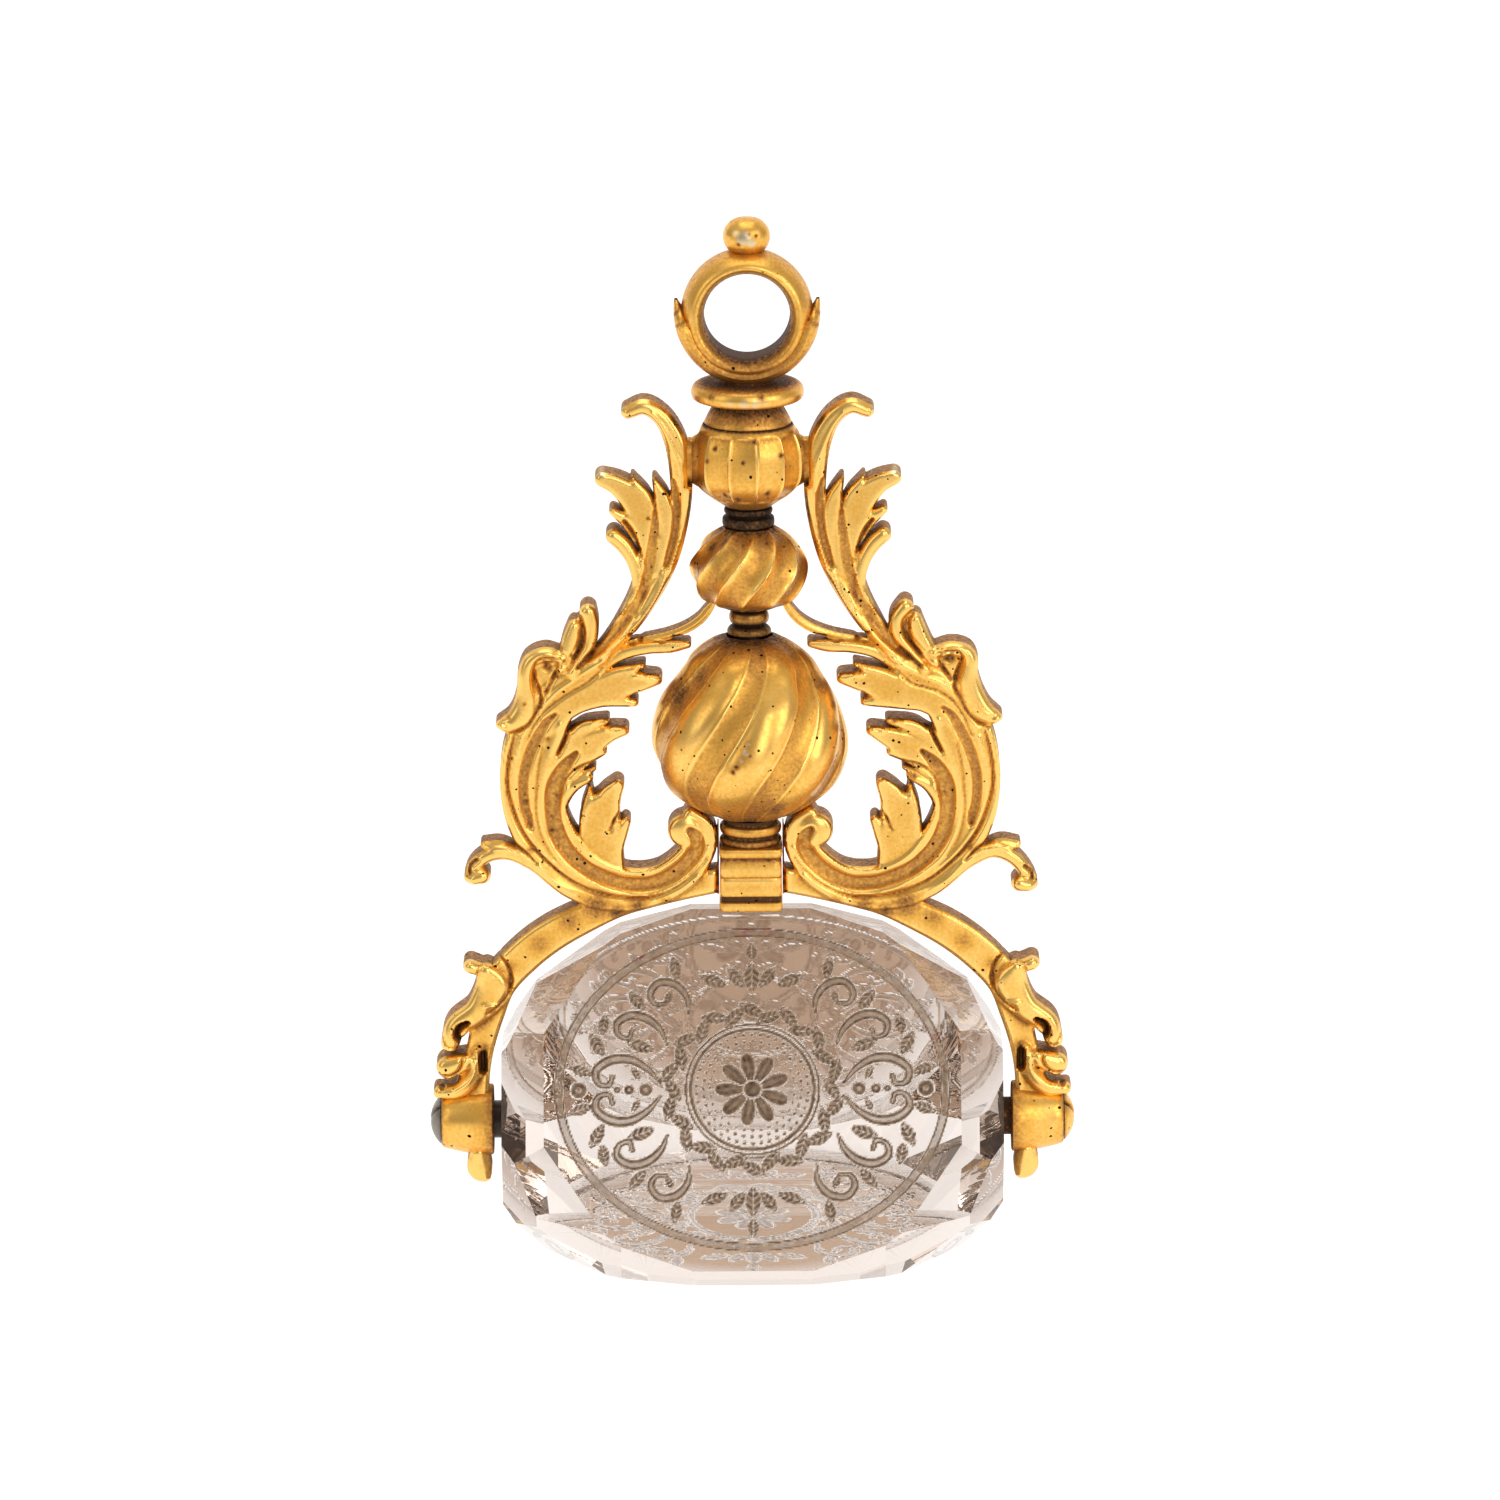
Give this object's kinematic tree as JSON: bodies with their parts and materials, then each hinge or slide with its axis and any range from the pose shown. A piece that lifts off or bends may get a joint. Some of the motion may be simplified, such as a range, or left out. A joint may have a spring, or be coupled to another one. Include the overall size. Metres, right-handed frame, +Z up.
{
  "type": "fob seal",
  "caption": "Swivel fob seal: a three-sided crystal with oval tables turns on two pivots in a pierced scrollwork handle with a gadrooned stem and a hanging ring.",
  "frame": {"origin": "centre of the footprint, on the surface that the lowest table of the stone rests on", "axes": "+Z up along the stem, +X along the pivots toward the viewer's right in the picture, -Y toward the viewer"},
  "size_m": [0.039, 0.0236, 0.0627],
  "materials": {
    "gilt": "worn mercury gilding with brown tarnish in the recesses",
    "dark_gilt": "gilt metal gone dark brown",
    "steel": "dull dark steel",
    "crystal": "polished clear rock crystal"
  },
  "bodies": {
    "mount": {"base_block": "gilt", "twisted_pear": "gilt", "lower_collar": "dark_gilt", "twisted_bead": "gilt", "upper_collar": "dark_gilt", "fluted_bead": "gilt", "bow": "gilt", "stem_rod": "steel", "left_arm": "gilt", "right_arm": "gilt", "left_pivot_screw": "steel", "right_pivot_screw": "gilt"},
    "stone": {"seal_stone": "crystal"}
  },
  "joints": [
    {"name": "stone_swivel", "type": "hinge", "parent": "mount", "child": "stone", "pos_m": [0, 0, 0.00715], "axis": [1, 0, 0], "continuous": true}
  ]
}
